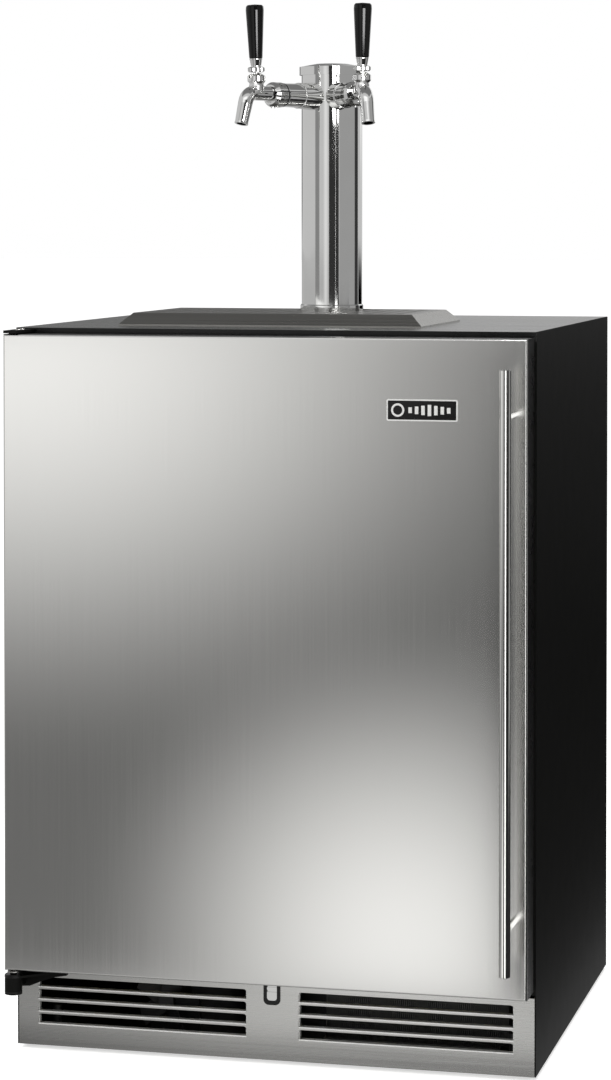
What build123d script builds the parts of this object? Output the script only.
from build123d import *
import math
import os

# Twin-faucet kegerator: insulated undercounter cabinet, hinged steel door, louvred base grille,
# refrigeration set, gas and beer lines, drip tray and draught tower.
#
# Part frame (millimetres): +X to the right, +Y to the back, +Z up. The origin is on the floor
# under the middle of the overall bounding box. In most functions, y is counted back from the
# cabinet's front plane and z up from the cabinet's underside, and place() or block() converts.

os.makedirs("parts", exist_ok=True)

# ---- driving dimensions: cabinet ----
WIDTH = 606.0
DEPTH = 540.0
HEIGHT = 829.0
FOOT_GAP = 5.0
SHEET = 1.2
LINER_SHEET = 1.0
FLANGE = 18.0
FRAME_DEPTH = 18.0
LINER_HALF = 262.0
LINER_TOP = 789.0
LINER_FLOOR = 118.0
LINER_BACK = 500.0
BAY_TOP = 92.0
HUMP_FRONT = 384.0
HUMP_TOP = 258.0
HUMP_FOAM = 27.0
SILL_TOP = 118.0
FRAME_TOP = 812.0
RAIL_LOW = 91.2

# ---- driving dimensions: door ----
DOOR_HALF = 301.5
DOOR_FRONT = -51.6
DOOR_BACK = -8.0
DOOR_LOW = 97.4
DOOR_HIGH = 823.0
SKIN_DEPTH = 5.0
DOOR_BAR = 20.0
DOOR_LINER_SHEET = 1.5
HANDLE_X = 285.7
HANDLE_STANDOFF = 50.0
HANDLE_R = 6.35
HANDLE_SPAN = (134.9, 792.2)
POST_HEIGHTS = (183.8, 740.6)
POST_R = 4.5
HINGE_X = -292.7
HINGE_Y = -45.0
PIN_R = 4.0
RUNNING = 0.05

# ---- driving dimensions: grille and lock ----
GRILLE_HALF = 301.5
GRILLE_TOP = 88.0
GRILLE_SHEET = 1.5
SLOT_BANKS = ((-278.0, -29.5), (31.5, 278.0))
SLOT_BASES = (25.1, 39.3, 53.5, 67.7)
SLOT_HEIGHT = 11.4
LIP_DEPTH = 9.0
LOCK_X = 0.5
LOCK_LOW = 63.0
LOCK_HALF = 9.8
TONGUE_HALF = 5.8

# ---- driving dimensions: tower and drip tray ----
COLUMN_X = 11.0
COLUMN_Y = 250.0
COLUMN_R = 36.5
COLUMN_WALL = 1.5
COLUMN_BASE = 851.0
COLUMN_TOP = 1126.0
FLANGE_R = 38.0
CAP_R = 39.0
CAP_RIM = 10.0
CAP_TOP = 1139.7
TRAY_X = (-205.0, 156.0)
TRAY_Y = (80.0, 310.0)
TRAY_HEIGHT = 15.0
TRAY_BEVEL = 14.0
TRAY_LIP = 2.0
LINE_HOLE_R = 28.0

# ---- driving dimensions: arms and faucets (x is the distance out from the column axis) ----
ARM_SPLAY = 28.7
ARM_Z = 1100.0
SHANK_R = 11.0
SHANK_TAIL = 22.0
SHANK_END = 98.0
STUB_END = 60.0
GASKET_START = 89.0
NUT_START = 92.0
NUT_END = 109.0
NUT_GROOVES = (93.6, 95.8, 98.0)
SPANNER_HOLE_X = 101.5
NUT_R = 14.75
FAUCET_X = 132.0
NECK_Z = 1.0
NECK_R = 8.5
SPOUT_TILT = 16.0
SPOUT_TIP = (158.0, -35.5)
SPOUT_BEND = 14.0
PIVOT_Z = 10.0
BOSS_TOP = 9.6
BALL_R = 5.4
STEM_R = 4.2
TRUNNION_R = 1.7
TRUNNION_HALF = 6.8
DOME_R = 15.0
LEVER_LEAN = 2.0

# ---- driving dimensions: equipment inside ----
COUPLER_X = 120.0
COUPLER_Y = 241.2
GAS_PORT_Y = 264.0
GAS_PORT_Z = 752.0
HOSE_R = 4.0
BEER_LINE_R = 4.5
CYLINDER_X = 190.0
CYLINDER_Y = 440.0
CYLINDER_R = 55.0
REGULATOR_X = 112.0
REGULATOR_Z = 615.0
FOOT_X = 270.0
FOOT_Y = (45.0, 495.0)
FOOT_STEM_R = 5.0
BASE_SHEET = 2.0
BRACKET_X = 250.0
BRACKET_Z = 808.0
BRACKET_R = 2.6

# ---- derived places ----
HANDLE_Y = DOOR_FRONT - HANDLE_STANDOFF
OVERALL_FRONT = HANDLE_Y - HANDLE_R
FRONT_Y = -(DEPTH + OVERALL_FRONT) / 2
INNER_HALF = WIDTH / 2 - SHEET
FOAM_HALF = LINER_HALF + LINER_SHEET
FOAM_BACK = DEPTH - SHEET
FROM_BASE = (Align.CENTER, Align.CENTER, Align.MIN)


def place(point):
    """Point given from the cabinet's front plane and underside, in the part frame."""
    return Vector(point[0], FRONT_Y + point[1], FOOT_GAP + point[2])


def block(x, y, z):
    """Box from three (low, high) spans."""
    low = place((x[0], y[0], z[0]))
    size = (x[1] - x[0], y[1] - y[0], z[1] - z[0])
    return Pos(low) * Box(*size, align=(Align.MIN, Align.MIN, Align.MIN))


def inset_span(span, inset):
    """Span shortened by the same amount at both ends."""
    return (span[0] + inset, span[1] - inset)


def rod(start, end, radius, end_radius=None):
    """Round bar, or a cone, between two points."""
    low = place(start)
    run = place(end) - low
    frame = Plane(origin=low, z_dir=run)
    if end_radius is None:
        return frame * Cylinder(radius, run.length, align=FROM_BASE)
    return frame * Cone(radius, end_radius, run.length, align=FROM_BASE)


def ring(start, end, radius, bore):
    """Tube between two points."""
    return rod(start, end, radius) - rod(start, end, bore)


def turned(profile):
    """Solid of revolution about local Z from (radius, height) points."""
    face = make_face(Polyline(*profile, close=True))
    return revolve(Plane.XZ * face, Axis.Z)


def plate_xz(points, y):
    """Flat plate with an outline in X and Z, between two y values."""
    outline = [place((x, y[0], z)) for x, z in points]
    face = make_face(Polyline(*outline, close=True))
    return extrude(face, amount=y[1] - y[0], dir=(0, 1, 0))


def plate_xy(points, z):
    """Flat plate with an outline in X and Y, between two heights."""
    outline = [place((x, y, z[0])) for x, y in points]
    face = make_face(Polyline(*outline, close=True))
    return extrude(face, amount=z[1] - z[0], dir=(0, 0, 1))


def hose(points, radii, radius):
    """Round hose along straight runs joined by tangent arcs."""
    route = FilletPolyline(*[place(p) for p in points], radius=radii)
    start = Plane(origin=route @ 0, z_dir=route % 0)
    return sweep(start * Circle(radius), path=route)


def save(name, shape):
    """Write one node, as a single solid or as a group of separate solids."""
    solids = shape if isinstance(shape, list) else [shape]
    body = solids[0] if len(solids) == 1 else Compound(children=[Solid(s.solid().wrapped) for s in solids])
    export_step(body, f"parts/{name}.step")


# ------------------------------------------------------------------ cabinet shell

def side_panel(side):
    """Painted side sheet with a front and a rear return flange."""
    outer = side * WIDTH / 2
    inner = side * INNER_HALF
    edge = side * (WIDTH / 2 - FLANGE)
    sheet = block(sorted((outer, inner)), (0, DEPTH - SHEET), (0, HEIGHT))
    front = block(sorted((outer, edge)), (0, SHEET), (RAIL_LOW, HEIGHT - SHEET))
    rear = block(sorted((outer, edge)), (DEPTH - 2 * SHEET, DEPTH - SHEET), (0, BAY_TOP - SHEET))
    return sheet + front + rear


def top_panel():
    """Steel top with a front flange and the hole for the beer lines."""
    sheet = block((-INNER_HALF, INNER_HALF), (0, DEPTH - SHEET), (HEIGHT - SHEET, HEIGHT))
    edge = WIDTH / 2 - FLANGE
    flange = block((-edge, edge), (0, SHEET), (FRAME_TOP, HEIGHT))
    hole = rod((COLUMN_X, COLUMN_Y, FRAME_TOP), (COLUMN_X, COLUMN_Y, HEIGHT + 1), LINE_HOLE_R)
    return sheet + flange - hole


def bracket_bores(radius, depth):
    """Cutters for the two anti-tip bracket screws high on the back."""
    bores = []
    for side in (-1, 1):
        x = side * BRACKET_X
        bores.append(rod((x, DEPTH - depth, BRACKET_Z), (x, DEPTH + 1, BRACKET_Z), radius))
    return bores


INLET_X = (150.0, 200.0)
INLET_Z = (32.0, 66.0)
VENT_COUNT = 9
VENT_PITCH = 22.0


def back_panel():
    """Rear sheet with the power inlet's cut-out and the machine bay's vent slots."""
    panel = block((-WIDTH / 2, WIDTH / 2), (DEPTH - SHEET, DEPTH), (0, HEIGHT))
    panel -= block(INLET_X, (DEPTH - 3, DEPTH + 1), INLET_Z)
    for i in range(VENT_COUNT):
        x = -230 + i * VENT_PITCH
        panel -= block((x, x + 8), (DEPTH - 3, DEPTH + 1), (40, 170))
    return panel - bracket_bores(BRACKET_R, 3)


def base_pan():
    """Folded steel base with four welded sockets for the levelling feet."""
    half = INNER_HALF - 0.2
    front = 16.0
    pan = block((-half, half), (front, DEPTH - 3), (0, BASE_SHEET))
    for side in (-1, 1):
        wall = sorted((side * half, side * (half - 1.5)))
        pan += block(wall, (front, DEPTH - 3), (0, 22))
        for y in FOOT_Y:
            x = side * FOOT_X
            pan += block((x - 16, x + 16), (y - 16, y + 16), (BASE_SHEET, 16))
    for side in (-1, 1):
        for y in FOOT_Y:
            x = side * FOOT_X
            pan -= rod((x, y, -1), (x, y, 17), FOOT_STEM_R + RUNNING)
    return pan


def insulation():
    """Foam slabs between the outer sheets and the liner."""
    start = FRAME_DEPTH + 2
    ceiling = HEIGHT - SHEET
    roof = LINER_TOP + LINER_SHEET
    slabs = []
    for side in (-1, 1):
        wall = sorted((side * INNER_HALF, side * FOAM_HALF))
        slabs.append(block(wall, (start, DEPTH - SHEET), (BAY_TOP, ceiling)))
    span = (-FOAM_HALF, FOAM_HALF)
    top = block(span, (start, FOAM_BACK), (roof, ceiling))
    slabs.append(top - rod((COLUMN_X, COLUMN_Y, roof - 1), (COLUMN_X, COLUMN_Y, HEIGHT), LINE_HOLE_R))
    slabs.append(block(span, (LINER_BACK + LINER_SHEET, FOAM_BACK), (HUMP_TOP, roof)))
    slabs.append(block(span, (start, HUMP_FRONT), (BAY_TOP, LINER_FLOOR - LINER_SHEET)))
    hump = (HUMP_FRONT + LINER_SHEET, HUMP_FRONT + HUMP_FOAM)
    inner = (-LINER_HALF, LINER_HALF)
    slabs.append(block(inner, hump, (BAY_TOP, HUMP_TOP - LINER_SHEET)))
    slabs.append(block(inner, (hump[1], FOAM_BACK), (HUMP_TOP - HUMP_FOAM, HUMP_TOP - LINER_SHEET)))
    return [slab - bracket_bores(4, 26) for slab in slabs]


def inner_liner():
    """Stainless liner sheets: two walls, ceiling, floor, machine hump and back."""
    front = FRAME_DEPTH
    sheets = []
    for side in (-1, 1):
        wall = sorted((side * LINER_HALF, side * FOAM_HALF))
        sheets.append(block(wall, (front, LINER_BACK + LINER_SHEET), (LINER_FLOOR - 1, LINER_TOP + 1)))
    span = (-LINER_HALF, LINER_HALF)
    roof = block(span, (front, LINER_BACK), (LINER_TOP, LINER_TOP + LINER_SHEET))
    sheets.append(roof - rod((COLUMN_X, COLUMN_Y, 700), (COLUMN_X, COLUMN_Y, 800), LINE_HOLE_R))
    sheets.append(block(span, (front, HUMP_FRONT), (LINER_FLOOR - LINER_SHEET, LINER_FLOOR)))
    sheets.append(block(span, (HUMP_FRONT, HUMP_FRONT + LINER_SHEET), (LINER_FLOOR - LINER_SHEET, HUMP_TOP)))
    tread = (HUMP_FRONT + LINER_SHEET, LINER_BACK)
    sheets.append(block(span, tread, (HUMP_TOP - LINER_SHEET, HUMP_TOP)))
    sheets.append(block(span, (LINER_BACK, LINER_BACK + LINER_SHEET), (HUMP_TOP, LINER_TOP + 1)))
    return sheets


STRIKE_GAP = 17.0


def front_frame():
    """Black frame bars round the door opening: two stiles, head, sill and lower rail."""
    stile = WIDTH / 2 - FLANGE
    y = (0, FRAME_DEPTH)
    bars = [block(sorted((s * LINER_HALF, s * stile)), (SHEET, FRAME_DEPTH), (DOOR_LOW, FRAME_TOP))
            for s in (-1, 1)]
    bars.append(block((-LINER_HALF, LINER_HALF), y, (LINER_TOP + LINER_SHEET, FRAME_TOP)))
    bars.append(block((-LINER_HALF, LINER_HALF), y, (DOOR_LOW, SILL_TOP)))
    rail = block((-stile, stile), (2, FRAME_DEPTH), (RAIL_LOW, DOOR_LOW))
    gap = (LOCK_X - STRIKE_GAP, LOCK_X + STRIKE_GAP)
    bars.append(rail - block(gap, (0, 14), (RAIL_LOW - 1, DOOR_LOW + 1)))
    return bars


# ------------------------------------------------------------------ grille and lock

def slot_cutter(span, base, y):
    """Long slot with two rounded upper corners."""
    slot = block(span, y, (base, base + SLOT_HEIGHT))
    corners = slot.edges().filter_by(Axis.Y).sort_by(Axis.Z)[-2:]
    return fillet(corners, 3.5)


def lock_outline(half, low, y, top):
    """Upright tongue shape with a rounded lower end."""
    tongue = block((LOCK_X - half, LOCK_X + half), y, (low, top))
    corners = tongue.edges().filter_by(Axis.Y).sort_by(Axis.Z)[:2]
    return fillet(corners, half * 0.62)


def grille():
    """Louvred steel kick plate with folded ends, slot lips and the notch for the lock."""
    face = block((-GRILLE_HALF, GRILLE_HALF), (0, GRILLE_SHEET), (0, GRILLE_TOP))
    for side in (-1, 1):
        end = sorted((side * GRILLE_HALF, side * (GRILLE_HALF - GRILLE_SHEET)))
        face += block(end, (0, 14), (0, GRILLE_TOP))
    face += block((-GRILLE_HALF, GRILLE_HALF), (0, 14), (0, GRILLE_SHEET))
    for span in SLOT_BANKS:
        for base in SLOT_BASES:
            face -= slot_cutter(span, base, (-1, GRILLE_SHEET + 1))
            lip = block(span, (GRILLE_SHEET, LIP_DEPTH), (base - 1.2, base))
            face += lip
    return face - lock_outline(LOCK_HALF, LOCK_LOW, (-1, GRILLE_SHEET + 1), GRILLE_TOP + 1)


def lock_bezel():
    """Black U-shaped guide that the lock bolt slides in."""
    outer = lock_outline(LOCK_HALF - 0.05, LOCK_LOW + 0.05, (-1, 6.5), GRILLE_TOP)
    channel = lock_outline(TONGUE_HALF + RUNNING, LOCK_LOW + 4.9, (-2, 4.05), GRILLE_TOP + 5)
    return outer - channel


def lock_bolt():
    """Bright sliding bolt with a thumb groove."""
    bolt = lock_outline(TONGUE_HALF, LOCK_LOW + 5.0, (-0.5, 4.0), GRILLE_TOP + 1)
    groove = (LOCK_X - 7, LOCK_X + 7)
    bolt -= block(groove, (-1, 1), (77.5, 80))
    return bolt - block(groove, (-1, 1), (83, GRILLE_TOP + 2))


# ------------------------------------------------------------------ hinges

def hinge_brackets():
    """Lower and upper hinge brackets, each with its riveted pin."""
    left = -(INNER_HALF - 0.4)
    knuckle = rod((HINGE_X, HINGE_Y, 69.6), (HINGE_X, HINGE_Y, 91), 10)
    tongue = plate_xy([(HINGE_X - 8, -50), (HINGE_X - 9.5, -0.4), (left, -0.4), (left, 30),
                       (-240, 30), (-240, -6), (-262, -30), (HINGE_X + 9, -50)], (88.4, 91))
    web = plate_xz([(-297, 70), (-284, 71), (-270, 77), (-254, 82.5), (-240, 85),
                    (-240, 88.4), (-297, 88.4)], (-12, -6))
    cheek = block((-299, -289), (-45, -6), (74, 88.4))
    pin = rod((HINGE_X, HINGE_Y, 91), (HINGE_X, HINGE_Y, 114), PIN_R)
    lower = knuckle + tongue + web + cheek + pin
    edge = (HINGE_X - 8, HINGE_X + 13)
    plate = plate_xy([(edge[0], -53), (edge[0], 0), (edge[1], 0), (edge[1] - 5, -53)], (824.2, 827.4))
    leg = block(edge, (-2.2, 0), (817.8, 824.2))
    upper_pin = rod((HINGE_X, HINGE_Y, 801), (HINGE_X, HINGE_Y, 824.2), PIN_R)
    return [lower, plate + leg + upper_pin]


# ------------------------------------------------------------------ door

def door_box(half, y, low, high):
    """Full-width block centred on the door."""
    return block((-half, half), y, (low, high))


def door_skin():
    """Brushed steel face pan with rounded front edges."""
    pan = door_box(DOOR_HALF, (DOOR_FRONT, DOOR_FRONT + SKIN_DEPTH), DOOR_LOW, DOOR_HIGH)
    front_edges = pan.faces().sort_by(Axis.Y)[0].edges()
    pan = fillet(front_edges, 2.2)
    inside = (DOOR_FRONT + SHEET, DOOR_FRONT + SKIN_DEPTH + 1)
    pan -= door_box(DOOR_HALF - SHEET, inside, DOOR_LOW + SHEET, DOOR_HIGH - SHEET)
    return pan - rod((HINGE_X, HINGE_Y, DOOR_LOW - 1), (HINGE_X, HINGE_Y, DOOR_HIGH + 1), PIN_R + 0.6)


def door_frame():
    """Black perimeter frame with the hinge bores and the strike for the lock bolt."""
    step = DOOR_FRONT + SKIN_DEPTH
    ring_back = door_box(DOOR_HALF, (step, DOOR_BACK), DOOR_LOW, DOOR_HIGH)
    inset = SHEET + 0.1
    nose = (DOOR_FRONT + 2.4, step)
    ring_front = door_box(DOOR_HALF - inset, nose, DOOR_LOW + inset, DOOR_HIGH - inset)
    frame = ring_back + ring_front
    hollow = (DOOR_FRONT, DOOR_BACK + 1)
    frame -= door_box(DOOR_HALF - DOOR_BAR, hollow, DOOR_LOW + DOOR_BAR, DOOR_HIGH - DOOR_BAR)
    strike_x = (LOCK_X - LOCK_HALF, LOCK_X + LOCK_HALF)
    frame += block(strike_x, (-20, DOOR_BACK), (93.4, DOOR_LOW))
    frame += block(strike_x, (-20, 8), (91.4, 93.4))
    eye = (LOCK_X - TONGUE_HALF - 0.7, LOCK_X + TONGUE_HALF + 0.7)
    frame -= block(eye, (-1.2, 4.8), (90, 96))
    bore = PIN_R + RUNNING
    frame -= rod((HINGE_X, HINGE_Y, DOOR_LOW - 1), (HINGE_X, HINGE_Y, 114.5), bore)
    return frame - rod((HINGE_X, HINGE_Y, 800.5), (HINGE_X, HINGE_Y, DOOR_HIGH + 1), bore)


def door_foam():
    """Insulation core of the door."""
    core = (DOOR_FRONT + SHEET, DOOR_BACK)
    return door_box(DOOR_HALF - DOOR_BAR, core, DOOR_LOW + DOOR_BAR, DOOR_HIGH - DOOR_BAR)


def door_liner():
    """Stainless inner sheet of the door with a raised field."""
    back = (DOOR_BACK, DOOR_BACK + DOOR_LINER_SHEET)
    sheet = door_box(DOOR_HALF - 5, back, DOOR_LOW + 3, DOOR_HIGH - 5.5)
    field = door_box(255, (DOOR_BACK, DOOR_BACK + 3.5), 135, 775)
    return sheet + field


def door_gasket():
    """Magnetic bellows gasket seated on the inner sheet."""
    start = DOOR_BACK + DOOR_LINER_SHEET
    outer = door_box(289, (start, -0.1), 101.5, 808.5)
    seal = outer - door_box(275, (start - 1, 1), 115.5, 794.5)
    groove = (start + 2.2, start + 3.8)
    waist = door_box(290, groove, 100, 810) - door_box(287, groove, 103.5, 806.5)
    return seal - waist


def door_handle():
    """Round bar handle with chamfered ends and a seat for each post."""
    bar = rod((HANDLE_X, HANDLE_Y, HANDLE_SPAN[0]), (HANDLE_X, HANDLE_Y, HANDLE_SPAN[1]), HANDLE_R)
    bar = chamfer(bar.edges().filter_by(GeomType.CIRCLE), 0.8)
    for z in POST_HEIGHTS:
        bar -= rod((HANDLE_X, HANDLE_Y + 3, z), (HANDLE_X, DOOR_FRONT, z), POST_R)
    return bar


def handle_posts():
    """Two standoffs between the door face and the handle bar."""
    return [rod((HANDLE_X, HANDLE_Y + 3, z), (HANDLE_X, DOOR_FRONT, z), POST_R) for z in POST_HEIGHTS]


PLATE_X = (144.6, 224.1)
PLATE_Z = (731.9, 755.7)


def nameplate():
    """Blank badge: a raised border round a recessed field."""
    plate = block(PLATE_X, (DOOR_FRONT - 1.8, DOOR_FRONT), PLATE_Z)
    plate = fillet(plate.edges().filter_by(Axis.Y), 1.6)
    field_x = (PLATE_X[0] + 1.4, PLATE_X[1] - 1.4)
    field_z = (PLATE_Z[0] + 1.4, PLATE_Z[1] - 1.4)
    field = block(field_x, (DOOR_FRONT - 2, DOOR_FRONT - 1.2), field_z)
    return plate - fillet(field.edges().filter_by(Axis.Y), 0.8)


# ------------------------------------------------------------------ feet

def foot(side, y):
    """Levelling foot: round pad on a stem that runs in the base pan's socket."""
    x = side * FOOT_X
    pad = rod((x, y, -FOOT_GAP), (x, y, -0.4), 17)
    pad = chamfer(pad.edges().filter_by(GeomType.CIRCLE).sort_by(Axis.Z)[-1], 1.5)
    return pad + rod((x, y, -0.4), (x, y, 36), FOOT_STEM_R)


# ------------------------------------------------------------------ refrigeration

COMPRESSOR_X = -120.0
COMPRESSOR_Y = 475.0
FAN_X = -140.0
FAN_Z = 46.0
FAN_Y = 52.0
COOLER_X = (-230.0, 30.0)
COOLER_Y = (440.0, 499.5)
COOLER_Z = (470.0, 745.0)
BLOWER_X = -100.0
BLOWER_Z = 520.0


def compressor():
    """Hermetic compressor shell on a foot plate with four rubber-mounted lugs."""
    seat = place((COMPRESSOR_X, COMPRESSOR_Y, BASE_SHEET))
    shell = turned([(0, 14), (52, 14), (59, 30), (59, 118), (46, 146), (18, 158), (0, 158)])
    body = Pos(seat) * shell
    x = (COMPRESSOR_X - 78, COMPRESSOR_X + 78)
    body += block(x, (COMPRESSOR_Y - 30, COMPRESSOR_Y + 30), (BASE_SHEET + 10, BASE_SHEET + 16))
    for dx in (-68, 68):
        for dy in (-20, 20):
            at = (COMPRESSOR_X + dx, COMPRESSOR_Y + dy)
            body += rod((*at, BASE_SHEET), (*at, BASE_SHEET + 22), 8)
    return body


FIN_COUNT = 23
FIN_PITCH = 10.0
FIN_Y = (64.0, 124.0)


def condenser_coil():
    """Fin-and-tube condenser behind the right-hand louvres."""
    coil = block((45, 270), FIN_Y, (BASE_SHEET, 12))
    for i in range(FIN_COUNT):
        x = 46 + i * FIN_PITCH
        coil += block((x, x + 1.5), FIN_Y, (12, 84))
    for z in (24, 44, 64):
        for y in (78, 110):
            coil += rod((43, y, z), (271, y, z), 4.5)
    return coil


def fan_wheel(centre, radius, hub, depth, blades):
    """Axial fan on a Y axis: hub and pitched blades."""
    x, y, z = centre
    wheel = rod((x, y, z), (x, y + depth, z), hub)
    mid = place((x, y + depth / 2, z))
    blade = Pos((hub + radius) / 2 - 1, 0, 0) * Rot(32, 0, 0) * Box(radius - hub + 2, 1.6, radius * 0.62)
    blade &= Plane.XZ * Cylinder(radius, 60)
    for i in range(blades):
        wheel += Pos(mid) * Rot(0, i * 360 / blades, 0) * blade
    return wheel


def fan_motors():
    """Condenser and evaporator fan motors with their brackets."""
    outer = rod((FAN_X, FAN_Y + 20, FAN_Z), (FAN_X, FAN_Y + 56, FAN_Z), 16)
    outer += rod((FAN_X, FAN_Y + 8, FAN_Z), (FAN_X, FAN_Y + 20, FAN_Z), 2.5)
    outer += block((FAN_X - 30, FAN_X + 30), (FAN_Y + 40, FAN_Y + 43), (BASE_SHEET, FAN_Z))
    inner = rod((BLOWER_X, 472, BLOWER_Z), (BLOWER_X, LINER_BACK, BLOWER_Z), 14)
    inner += rod((BLOWER_X, 455, BLOWER_Z), (BLOWER_X, 472, BLOWER_Z), 2.5)
    return [outer, inner]


def bored_fan(centre, radius, hub, depth, blades):
    """Fan wheel with a running bore for its motor shaft."""
    x, y, z = centre
    wheel = fan_wheel(centre, radius, hub, depth, blades)
    return wheel - rod((x, y + 2, z), (x, y + depth + 1, z), 2.5 + RUNNING)


def evaporator_coil():
    """Finned evaporator pack inside the air cover."""
    coil = block((-212, 12), (452, 494), (596, 732))
    for z in (616, 650, 684, 716):
        coil += rod((-220, 473, z), (20, 473, z), 4.5)
    return coil


def evaporator_cover():
    """Air cover on the rear wall with a fan opening and outlet louvres."""
    cover = block(COOLER_X, COOLER_Y, COOLER_Z)
    cover = fillet(cover.edges().filter_by(Axis.Z).sort_by(Axis.Y)[:2], 8)
    inner_x = (COOLER_X[0] + 1.6, COOLER_X[1] - 1.6)
    inner_z = (COOLER_Z[0] + 1.6, COOLER_Z[1] - 1.6)
    cover -= block(inner_x, (COOLER_Y[0] + 1.6, COOLER_Y[1] + 1), inner_z)
    cover -= rod((BLOWER_X, 430, BLOWER_Z), (BLOWER_X, 446, BLOWER_Z), 44)
    for i in range(5):
        z = 650 + i * 16
        cover -= block((-190, -10), (430, 446), (z, z + 7))
    return cover


def power_inlet():
    """Control box in the machine bay with an appliance inlet set in the back panel."""
    box = block((60, 205), (430, DEPTH - SHEET - 0.4), (BASE_SHEET, 112))
    box += block(inset_span(INLET_X, 0.3), (DEPTH - 4, DEPTH), inset_span(INLET_Z, 0.3))
    mid_x = sum(INLET_X) / 2
    mid_z = sum(INLET_Z) / 2
    box -= block((mid_x - 12, mid_x + 12), (DEPTH - 17, DEPTH + 1), (mid_z - 8, mid_z + 8))
    for dx, dz in ((-7, -2), (0, 3), (7, -2)):
        x = mid_x + dx
        z = mid_z + dz
        box += block((x - 1, x + 1), (DEPTH - 18, DEPTH - 6), (z - 2.2, z + 2.2))
    return box


# ------------------------------------------------------------------ gas set and keg couplers

def co2_cylinder():
    """Gas cylinder with its brass valve."""
    seat = place((CYLINDER_X, CYLINDER_Y, HUMP_TOP))
    shell = turned([(0, 0), (48, 0), (CYLINDER_R, 8), (CYLINDER_R, 292), (48, 312), (30, 325),
                    (14, 330), (14, 338), (0, 338)])
    z = HUMP_TOP + 338
    valve = rod((CYLINDER_X, CYLINDER_Y, z), (CYLINDER_X, CYLINDER_Y, z + 42), 11)
    valve += rod((CYLINDER_X, CYLINDER_Y, REGULATOR_Z), (162, CYLINDER_Y, REGULATOR_Z), 8)
    return [Pos(seat) * shell, valve - wheel_spindle(CYLINDER_X, CYLINDER_Y, z + 42)]


def wheel_spindle(x, y, top):
    """Running bore for the handwheel's spindle."""
    return rod((x, y, top - 15), (x, y, top + 1), 3 + RUNNING)


def cylinder_handwheel():
    """Scalloped handwheel on a spindle in the valve."""
    top = HUMP_TOP + 380
    wheel = rod((CYLINDER_X, CYLINDER_Y, top + 2), (CYLINDER_X, CYLINDER_Y, top + 14), 20)
    for i in range(8):
        turn = math.radians(i * 45)
        x = CYLINDER_X + 22 * math.cos(turn)
        y = CYLINDER_Y + 22 * math.sin(turn)
        wheel -= rod((x, y, top), (x, y, top + 16), 4.5)
    return wheel + rod((CYLINDER_X, CYLINDER_Y, top - 14), (CYLINDER_X, CYLINDER_Y, top + 3), 3)


def regulator():
    """Pressure regulator with inlet nut, two gauges and two hose barbs."""
    x = REGULATOR_X
    z = REGULATOR_Z
    body = rod((x, 425, z), (x, 455, z), 20)
    body += rod((x, 440, z), (162, 440, z), 7)
    body += rod((144, 440, z), (158, 440, z), 12)
    for rise in (42, -42):
        body += rod((x, 434, z), (x, 434, z + rise * 0.6), 4.5)
        body += rod((x, 427, z + rise), (x, 441, z + rise), 18)
    for y, dz in ((440, -8), (430, 8)):
        body += rod((x, y, z + dz), (88, y, z + dz), 5)
    return body - rod((x, 424, z), (x, 436, z), 4 + RUNNING)


def regulator_knob():
    """Fluted adjusting knob on the regulator's front."""
    z = REGULATOR_Z
    knob = rod((REGULATOR_X, 401, z), (REGULATOR_X, 424, z), 13, 14)
    for i in range(12):
        turn = math.radians(i * 30)
        dx = 15 * math.cos(turn)
        dz = 15 * math.sin(turn)
        knob -= rod((REGULATOR_X + dx, 400, z + dz), (REGULATOR_X + dx, 425, z + dz), 2.2)
    return knob + rod((REGULATOR_X, 423, z), (REGULATOR_X, 435, z), 4)


def gas_hoses():
    """Gas hose from the regulator to each coupler."""
    left = [(88, 440, 607), (55, 440, 607), (55, 440, GAS_PORT_Z),
            (-COUPLER_X, 400, GAS_PORT_Z), (-COUPLER_X, GAS_PORT_Y, GAS_PORT_Z)]
    right = [(88, 430, 623), (72, 430, 623), (72, 430, GAS_PORT_Z),
             (COUPLER_X, 400, GAS_PORT_Z), (COUPLER_X, GAS_PORT_Y, GAS_PORT_Z)]
    return [hose(left, (26, 30, 40), HOSE_R), hose(right, (14, 24, 26), HOSE_R)]


def arm_offset(side, distance):
    """X and Y of a point that far out from the column axis along one arm."""
    splay = math.radians(ARM_SPLAY)
    x = COLUMN_X + side * distance * math.sin(splay)
    return x, COLUMN_Y - distance * math.cos(splay)


def beer_lines():
    """Beer line from each coupler, up inside the column, to the faucet shank."""
    lines = []
    for side in (-1, 1):
        rise = arm_offset(side, 10)
        end = arm_offset(side, SHANK_TAIL)
        route = [(side * 103, rise[1], 768), (*rise, 768), (*rise, ARM_Z), (*end, ARM_Z)]
        lines.append(hose(route, (30, 11.5), BEER_LINE_R))
    return lines


def keg_coupler(side):
    """Keg coupler body with beer and gas ports and the ears for its lever."""
    x = side * COUPLER_X
    y = COUPLER_Y
    body = rod((x, y, 720), (x, y, 732), 27) + rod((x, y, 732), (x, y, 778), 17)
    body += rod((x, y, 768), (side * 103, y, 768), 7)
    body += rod((x, y, GAS_PORT_Z), (x, GAS_PORT_Y, GAS_PORT_Z), 7)
    for ear in (-1, 1):
        wall = sorted((x + ear * 7, x + ear * 11))
        body += block(wall, (y - 28, y - 8), (753, 769))
    body -= block((x - 7, x + 7), (y - 28, y - 15.5), (750, 772))
    return body - rod((x - 12, y - 21, 761), (x + 12, y - 21, 761), 3 + RUNNING)


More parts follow.
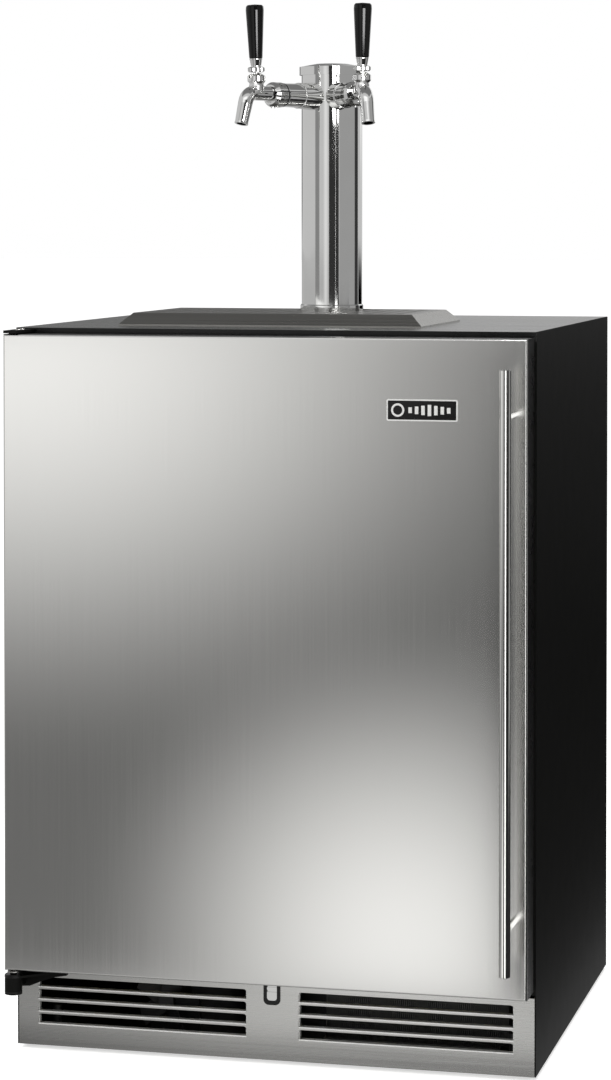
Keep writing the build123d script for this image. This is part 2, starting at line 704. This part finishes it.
def coupler_lever(side):
    """Pull lever of a coupler with its cross pin."""
    x = side * COUPLER_X
    y = COUPLER_Y - 21
    lever = rod((x - 6.5, y, 761), (x + 6.5, y, 761), 5)
    lever += rod((x - 11, y, 761), (x + 11, y, 761), 3)
    lever += block((x - 5, x + 5), (y - 70, y), (758, 764))
    return lever + rod((x, y - 70, 761), (x, y - 110, 761), 7)


def coupler_hangers():
    """Ceiling clips that hold the couplers above the kegs."""
    clips = []
    for side in (-1, 1):
        x = side * COUPLER_X
        clip = ring((x, COUPLER_Y, 736), (x, COUPLER_Y, 743), 21, 17.1)
        clip -= block((x - 12, x + 12), (COUPLER_Y - 25, COUPLER_Y), (735, 744))
        strap = sorted((x + side * 18, x + side * 21))
        clip += block(strap, (COUPLER_Y - 8, COUPLER_Y + 8), (736, LINER_TOP))
        clips.append(clip)
    return clips


# ------------------------------------------------------------------ drip tray

TRAY_TOP = HEIGHT + TRAY_HEIGHT
GRID_SEAT = 2.5
SEAT_INSET = 5.0
WELL_INSET = 9.0
GRID_NOTCH_R = 41.5


def drip_tray():
    """Bevelled tray with a well, a seat for the grid and a collar round the tower."""
    low = [(TRAY_X[0], TRAY_Y[0]), (TRAY_X[1], TRAY_Y[0]), (TRAY_X[1], TRAY_Y[1]), (TRAY_X[0], TRAY_Y[1])]
    tray = plate_xy(low, (HEIGHT, HEIGHT + TRAY_LIP))
    faces = []
    for inset, z in ((0, HEIGHT + TRAY_LIP), (TRAY_BEVEL, TRAY_TOP)):
        x = inset_span(TRAY_X, inset)
        y = inset_span(TRAY_Y, inset)
        corners = [place((a, b, z)) for a, b in ((x[0], y[0]), (x[1], y[0]), (x[1], y[1]), (x[0], y[1]))]
        faces.append(make_face(Polyline(*corners, close=True)))
    tray += loft(faces)
    rim = TRAY_BEVEL + SEAT_INSET
    seat = block(inset_span(TRAY_X, rim), inset_span(TRAY_Y, rim), (TRAY_TOP - GRID_SEAT, TRAY_TOP + 1))
    deep = TRAY_BEVEL + WELL_INSET
    well = block(inset_span(TRAY_X, deep), inset_span(TRAY_Y, deep), (HEIGHT + 3, TRAY_TOP + 1))
    axis = (COLUMN_X, COLUMN_Y)
    collar = rod((*axis, HEIGHT + 3), (*axis, TRAY_TOP - GRID_SEAT), 44)
    tray = tray - seat - (well - collar)
    return tray - rod((*axis, HEIGHT - 1), (*axis, TRAY_TOP + 2), FLANGE_R + 0.5)


GRID_SLOT = (13.0, 3.6)
GRID_PITCH = (18.0, 9.0)


def drip_grid():
    """Slotted plate over the tray's well, notched so that it lifts straight off round the tower."""
    inset = TRAY_BEVEL + SEAT_INSET + 0.4
    span_x = inset_span(TRAY_X, inset)
    span_y = inset_span(TRAY_Y, inset)
    z = (TRAY_TOP - GRID_SEAT + 0.1, TRAY_TOP - 0.1)
    grid = block(span_x, span_y, z)
    axis = (COLUMN_X, COLUMN_Y)
    grid -= rod((*axis, z[0] - 1), (*axis, z[1] + 1), GRID_NOTCH_R)
    through = (z[0] - 1, z[1] + 1)
    grid -= block((COLUMN_X - GRID_NOTCH_R, COLUMN_X + GRID_NOTCH_R), (COLUMN_Y, TRAY_Y[1]), through)
    columns = int((span_x[1] - span_x[0] - 14) // GRID_PITCH[0])
    rows = int((span_y[1] - span_y[0] - 14) // GRID_PITCH[1])
    first_x = (span_x[0] + span_x[1] - (columns - 1) * GRID_PITCH[0]) / 2
    first_y = (span_y[0] + span_y[1] - (rows - 1) * GRID_PITCH[1]) / 2
    cutters = []
    for i in range(columns):
        for j in range(rows):
            x = first_x + i * GRID_PITCH[0]
            y = first_y + j * GRID_PITCH[1]
            beside = abs(x - COLUMN_X) < GRID_NOTCH_R + 12 and y > COLUMN_Y - 8
            if beside or math.hypot(x - COLUMN_X, y - COLUMN_Y) < GRID_NOTCH_R + 13:
                continue
            cutters.append(block(inset_span((x, x), -GRID_SLOT[0] / 2),
                                 inset_span((y, y), -GRID_SLOT[1] / 2), through))
    return grid - cutters


# ------------------------------------------------------------------ tower

def arm_frame(side):
    """Frame of one arm: origin on the column axis at arm height, +X outwards."""
    heading = 270 + side * ARM_SPLAY
    return Pos(place((COLUMN_X, COLUMN_Y, ARM_Z))) * Rot(0, 0, heading)


def arm_rod(start, end, radius, end_radius=None, z=0.0):
    """Round bar or cone along an arm's X axis."""
    seat = Plane(origin=(start, 0, z), z_dir=(1, 0, 0))
    if end_radius is None:
        return seat * Cylinder(radius, end - start, align=FROM_BASE)
    return seat * Cone(radius, end_radius, end - start, align=FROM_BASE)


def tower_flange():
    """Solid foot ring of the tower, through the drip tray onto the cabinet top."""
    axis = (COLUMN_X, COLUMN_Y)
    foot_ring = ring((*axis, HEIGHT), (*axis, COLUMN_BASE), FLANGE_R, LINE_HOLE_R)
    top_edges = foot_ring.edges().filter_by(GeomType.CIRCLE).group_by(Axis.Z)[-1]
    return chamfer(top_edges.sort_by(SortBy.RADIUS)[-1], 1)


def tower_column():
    """Polished tube with two shank holes."""
    axis = (COLUMN_X, COLUMN_Y)
    tube = ring((*axis, COLUMN_BASE), (*axis, COLUMN_TOP), COLUMN_R, COLUMN_R - COLUMN_WALL)
    for side in (-1, 1):
        tube -= arm_frame(side) * arm_rod(20, 60, SHANK_R + 0.4)
    return tube


def tower_cap():
    """Bevelled cap with a spigot in the tube."""
    rise = CAP_TOP - COLUMN_TOP
    cap = turned([(0, 0), (CAP_R, 0), (CAP_R, CAP_RIM), (19, rise), (0, rise)])
    spigot_r = COLUMN_R - COLUMN_WALL - 0.1
    spigot = turned([(30, -9), (spigot_r, -9), (spigot_r, 0), (30, 0)])
    return Pos(place((COLUMN_X, COLUMN_Y, COLUMN_TOP))) * (cap + spigot)


def faucet_arm(side):
    """Chrome arm: flared stub saddled on the column and a plain sleeve."""
    arm = arm_rod(30, STUB_END, 17.0, 15.1) + arm_rod(STUB_END, GASKET_START, 14.4, 13.7)
    arm -= arm_rod(20, GASKET_START + 1, SHANK_R + 0.3)
    arm -= Pos(0, 0, -40) * Cylinder(COLUMN_R, 80, align=FROM_BASE)
    return arm_frame(side) * arm


def faucet_shank(side):
    """Threaded shank through the column wall with a beer bore."""
    shank = arm_rod(36.2, SHANK_END, SHANK_R) + arm_rod(SHANK_TAIL, 36.2, 7)
    return arm_frame(side) * (shank - arm_rod(20, 100, 3.2))


def arm_gasket(side):
    """Black sealing ring between the arm and the coupling nut."""
    seal = arm_rod(GASKET_START, NUT_START, 14.3) - arm_rod(70, 95, SHANK_R + 0.3)
    return arm_frame(side) * seal


def coupling_nut(side):
    """Coupling nut with grip grooves, spanner holes and a chamfered nose."""
    nut = arm_rod(NUT_START, NUT_END - 4, NUT_R) + arm_rod(NUT_END - 4, NUT_END, NUT_R, NUT_R - 3)
    nut -= arm_rod(NUT_START - 1, 104.2, SHANK_R + 0.3)
    nut -= arm_rod(104, NUT_END + 1, NECK_R + 1.3)
    for x in NUT_GROOVES:
        nut -= arm_rod(x, x + 1, NUT_R + 1) - arm_rod(x, x + 1, NUT_R - 0.7)
    for i in range(6):
        spanner_hole = Rot(i * 60 + 20, 0, 0) * Pos(SPANNER_HOLE_X, 0, NUT_R - 2) * Cylinder(2.2, 5, align=FROM_BASE)
        nut -= spanner_hole
    lug = Rot(180, 0, 0) * Pos(NUT_END - 5, 0, NUT_R - 3.5) * Cylinder(2.4, 4.5, align=FROM_BASE)
    return arm_frame(side) * (nut + lug)


def spout_path():
    """Centre line of the faucet: neck, elbow and tilted spout, in the arm's XZ plane."""
    tilt = math.radians(SPOUT_TILT)
    corner_x = SPOUT_TIP[0] - math.tan(tilt) * (NECK_Z - SPOUT_TIP[1])
    start = (103.5, 0, NECK_Z)
    return FilletPolyline(start, (corner_x, 0, NECK_Z), (SPOUT_TIP[0], 0, SPOUT_TIP[1]), radius=SPOUT_BEND)


def spout_frame():
    """Plane at the spout's tip, looking up the spout."""
    tilt = math.radians(SPOUT_TILT)
    up = (-math.sin(tilt), 0, math.cos(tilt))
    return Plane(origin=(SPOUT_TIP[0], 0, SPOUT_TIP[1]), z_dir=up)


def trunnion(radius, half):
    """Cross pin of the lever's ball, along the hinge axis."""
    seat = Plane(origin=(FAUCET_X, -half, PIVOT_Z), z_dir=(0, 1, 0))
    return seat * Cylinder(radius, 2 * half, align=FROM_BASE)


def faucet_body(side):
    """Forged faucet body: tail flange, neck, elbow, spout and the seat of the lever ball."""
    body = arm_rod(98.4, 104, 10.9)
    path = spout_path()
    body += sweep(Plane(origin=path @ 0, z_dir=path % 0) * Circle(NECK_R), path=path)
    body += Pos(FAUCET_X, 0, NECK_Z) * Cylinder(8.8, BOSS_TOP - NECK_Z, align=FROM_BASE)
    tip = spout_frame()
    body -= tip * (Cylinder(14, 24, align=FROM_BASE) - Cone(7.6, NECK_R, 24, align=FROM_BASE))
    body += tip * (Cylinder(8.0, 2, align=FROM_BASE) - Cylinder(6, 2, align=FROM_BASE))
    body -= tip * (Pos(0, 0, -1) * Cylinder(5.8, 30, align=FROM_BASE))
    body -= arm_rod(97, 146, 4.6, z=NECK_Z)
    body -= Pos(FAUCET_X, 0, NECK_Z) * Cylinder(6.0, 20, align=FROM_BASE)
    body -= trunnion(TRUNNION_R + 0.3, TRUNNION_HALF + 0.3)
    return arm_frame(side) * body


def bonnet(side):
    """Ball-topped bonnet that holds the lever's ball, slotted for the lever's travel."""
    base = BOSS_TOP
    shell = turned([(0, base), (8.8, base), (8.2, base + 2.5), (10.6, base + 5.5),
                    (10.6, 22.5), (9, 26), (0, 26)])
    shell &= Pos(0, 0, PIVOT_Z) * Sphere(DOME_R)
    shell -= Pos(0, 0, PIVOT_Z) * Sphere(BALL_R + 0.3)
    shell -= Pos(0, 0, base - 1) * Cylinder(5.2, 3, align=FROM_BASE)
    slot = [(-3.2, PIVOT_Z), (-3.2, 40), (24, 40), (24, PIVOT_Z + 26), (2.6, PIVOT_Z - 2)]
    face = make_face(Polyline(*[(x, 3.1, z) for x, z in slot], close=True))
    shell -= extrude(face, amount=6.2, dir=(0, -1, 0))
    shell = Pos(FAUCET_X, 0, 0) * shell
    return arm_frame(side) * (shell - trunnion(TRUNNION_R + RUNNING, TRUNNION_HALF + 0.3))


def tilted(shape):
    """Shape built on the lever's upright axis, leaned by its rest angle about the pivot."""
    return Pos(FAUCET_X, 0, PIVOT_Z) * Rot(0, LEVER_LEAN, 0) * Pos(0, 0, -PIVOT_Z) * shape


def tap_lever(side):
    """Lever: ball, finger below it, stem, knurled collar and threaded end."""
    lever = Pos(0, 0, PIVOT_Z) * Sphere(BALL_R)
    lever += Pos(0, 0, 0.5) * Cylinder(2.0, 8, align=FROM_BASE)
    lever += Pos(0, 0, PIVOT_Z) * Cylinder(2.6, 18, align=FROM_BASE)
    lever += turned([(0, 25.5), (8.4, 25.5), (9.4, 26.5), (9.4, 30.6), (8.4, 31.6), (0, 31.6)])
    lever += turned([(0, 31.6), (6, 31.6), (6, 33), (7.4, 41.5), (0, 41.5)])
    return arm_frame(side) * (tilted(lever) + trunnion(TRUNNION_R, TRUNNION_HALF))


def tap_handle(side):
    """Tapered black tap handle with a softly domed top."""
    handle = turned([(0, 41.5), (7.2, 41.5), (7.8, 42.5), (10.6, 98), (10.2, 102.2), (8.6, 104), (0, 104.8)])
    return arm_frame(side) * tilted(handle)


def valve_stem(side):
    """Sliding valve stem with a pocket for the lever's finger."""
    stem = arm_rod(108, 145, STEM_R, z=NECK_Z)
    pocket = Box(11.9, 5.2, 12)
    stem -= Pos(FAUCET_X + 3.3, 0, NECK_Z + 3.5) * pocket
    return arm_frame(side) * stem


# ------------------------------------------------------------------ write every node

def pair(maker):
    """Left and right copies of a piece that share one node."""
    return [maker(side) for side in (-1, 1)]


NODES = {
    "side_panel_left": lambda: side_panel(-1),
    "side_panel_right": lambda: side_panel(1),
    "top_panel": top_panel,
    "back_panel": back_panel,
    "base_pan": base_pan,
    "insulation": insulation,
    "inner_liner": inner_liner,
    "front_frame": front_frame,
    "grille": grille,
    "lock_bezel": lock_bezel,
    "lock_bolt": lock_bolt,
    "hinge_brackets": hinge_brackets,
    "door_skin": door_skin,
    "door_frame": door_frame,
    "door_foam": door_foam,
    "door_liner": door_liner,
    "door_gasket": door_gasket,
    "door_handle": door_handle,
    "handle_posts": handle_posts,
    "nameplate": nameplate,
    "foot_front_left": lambda: foot(-1, FOOT_Y[0]),
    "foot_front_right": lambda: foot(1, FOOT_Y[0]),
    "foot_rear_left": lambda: foot(-1, FOOT_Y[1]),
    "foot_rear_right": lambda: foot(1, FOOT_Y[1]),
    "compressor": compressor,
    "condenser_coil": condenser_coil,
    "fan_motors": fan_motors,
    "condenser_fan": lambda: bored_fan((FAN_X, FAN_Y, FAN_Z), 38, 9, 16, 5),
    "evaporator_coil": evaporator_coil,
    "evaporator_cover": evaporator_cover,
    "evaporator_fan": lambda: bored_fan((BLOWER_X, 450, BLOWER_Z), 41, 9, 14, 5),
    "power_inlet": power_inlet,
    "co2_cylinder": co2_cylinder,
    "cylinder_handwheel": cylinder_handwheel,
    "regulator": regulator,
    "regulator_knob": regulator_knob,
    "gas_hoses": gas_hoses,
    "beer_lines": beer_lines,
    "keg_couplers": lambda: pair(keg_coupler),
    "coupler_lever_left": lambda: coupler_lever(-1),
    "coupler_lever_right": lambda: coupler_lever(1),
    "coupler_hangers": coupler_hangers,
    "drip_tray": drip_tray,
    "drip_grid": drip_grid,
    "tower_flange": tower_flange,
    "tower_column": tower_column,
    "tower_cap": tower_cap,
    "faucet_arms": lambda: pair(faucet_arm),
    "faucet_shanks": lambda: pair(faucet_shank),
    "arm_gaskets": lambda: pair(arm_gasket),
    "coupling_nuts": lambda: pair(coupling_nut),
    "faucet_body_left": lambda: faucet_body(-1),
    "faucet_body_right": lambda: faucet_body(1),
    "bonnets": lambda: pair(bonnet),
    "tap_lever_left": lambda: tap_lever(-1),
    "tap_lever_right": lambda: tap_lever(1),
    "tap_handle_left": lambda: tap_handle(-1),
    "tap_handle_right": lambda: tap_handle(1),
    "valve_stem_left": lambda: valve_stem(-1),
    "valve_stem_right": lambda: valve_stem(1),
}

for name, make in NODES.items():
    save(name, make())
